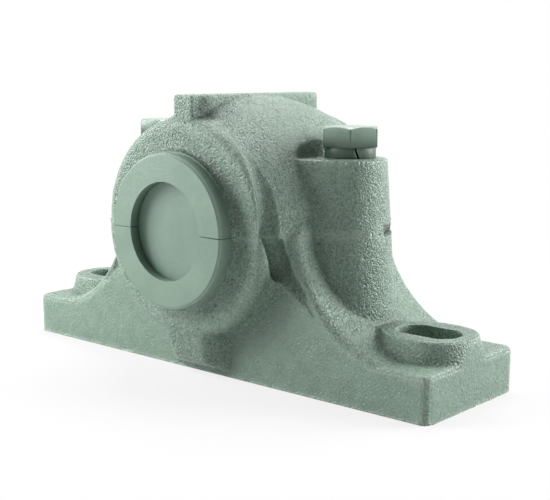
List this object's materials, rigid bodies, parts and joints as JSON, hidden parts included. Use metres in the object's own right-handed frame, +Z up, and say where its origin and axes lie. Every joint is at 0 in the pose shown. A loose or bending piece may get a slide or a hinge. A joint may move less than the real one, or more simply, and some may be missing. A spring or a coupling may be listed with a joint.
{
  "type": "split plummer block",
  "caption": "Cast pillow-block housing split at its shaft axis, bolted round a self-aligning ball bearing on a clamping sleeve, with slotted feet, one closed end and one open end.",
  "frame": {"origin": "middle of the foot's underside", "axes": "+X along the foot, +Y along the shaft axis towards the open end, +Z up; the closed end faces -Y"},
  "size_m": [0.255, 0.1176, 0.1316],
  "materials": {
    "casting_paint": "sage-green machinery paint over a sand-cast surface, satin",
    "plug_paint": "sage-green machinery paint over a smooth disc, satin",
    "bolt_paint": "sage-green machinery paint over a forged head, satin",
    "washer_paint": "sage-green machinery paint over spring steel, satin",
    "felt": "pressed wool felt, grey-brown",
    "ring_steel": "hardened bearing steel, ground",
    "ball_steel": "hardened bearing steel, polished",
    "cage_brass": "machined brass",
    "spacer_iron": "turned cast iron",
    "sleeve_steel": "turned steel, lightly oiled",
    "nut_steel": "turned steel, oiled",
    "sheet_steel": "punched sheet steel",
    "pin_steel": "ground pin steel"
  },
  "bodies": {
    "housing": {"housing_base": "casting_paint", "housing_cap": "casting_paint", "end_plug": "plug_paint", "felt_strip_upper": "felt", "felt_strip_lower": "felt", "outer_ring": "ring_steel", "locating_ring_front": "spacer_iron", "locating_ring_rear": "spacer_iron", "cap_bolt_left": "bolt_paint", "cap_bolt_right": "bolt_paint", "spring_washer_left": "washer_paint", "spring_washer_right": "washer_paint", "dowel_pin_left": "pin_steel", "dowel_pin_right": "pin_steel"},
    "shaft_set": {"inner_ring": "ring_steel", "adapter_sleeve": "sleeve_steel", "lock_nut": "nut_steel", "lock_washer": "sheet_steel"},
    "ball_set": {"ball_cage": "cage_brass", "ball_front_01": "ball_steel", "ball_front_02": "ball_steel", "ball_front_03": "ball_steel", "ball_front_04": "ball_steel", "ball_front_05": "ball_steel", "ball_front_06": "ball_steel", "ball_front_07": "ball_steel", "ball_front_08": "ball_steel", "ball_front_09": "ball_steel", "ball_front_10": "ball_steel", "ball_front_11": "ball_steel", "ball_front_12": "ball_steel", "ball_front_13": "ball_steel", "ball_rear_01": "ball_steel", "ball_rear_02": "ball_steel", "ball_rear_03": "ball_steel", "ball_rear_04": "ball_steel", "ball_rear_05": "ball_steel", "ball_rear_06": "ball_steel", "ball_rear_07": "ball_steel", "ball_rear_08": "ball_steel", "ball_rear_09": "ball_steel", "ball_rear_10": "ball_steel", "ball_rear_11": "ball_steel", "ball_rear_12": "ball_steel", "ball_rear_13": "ball_steel"}
  },
  "joints": [
    {"name": "shaft_turn", "type": "hinge", "parent": "housing", "child": "shaft_set", "pos_m": [0, 0, 0.07], "axis": [0, 1, 0], "continuous": true},
    {"name": "cage_turn", "type": "hinge", "parent": "housing", "child": "ball_set", "pos_m": [0, 0, 0.07], "axis": [0, 1, 0], "continuous": true}
  ],
  "couplings": [
    {"joint": "cage_turn", "follows": "shaft_turn", "ratio": 0.4038}
  ]
}
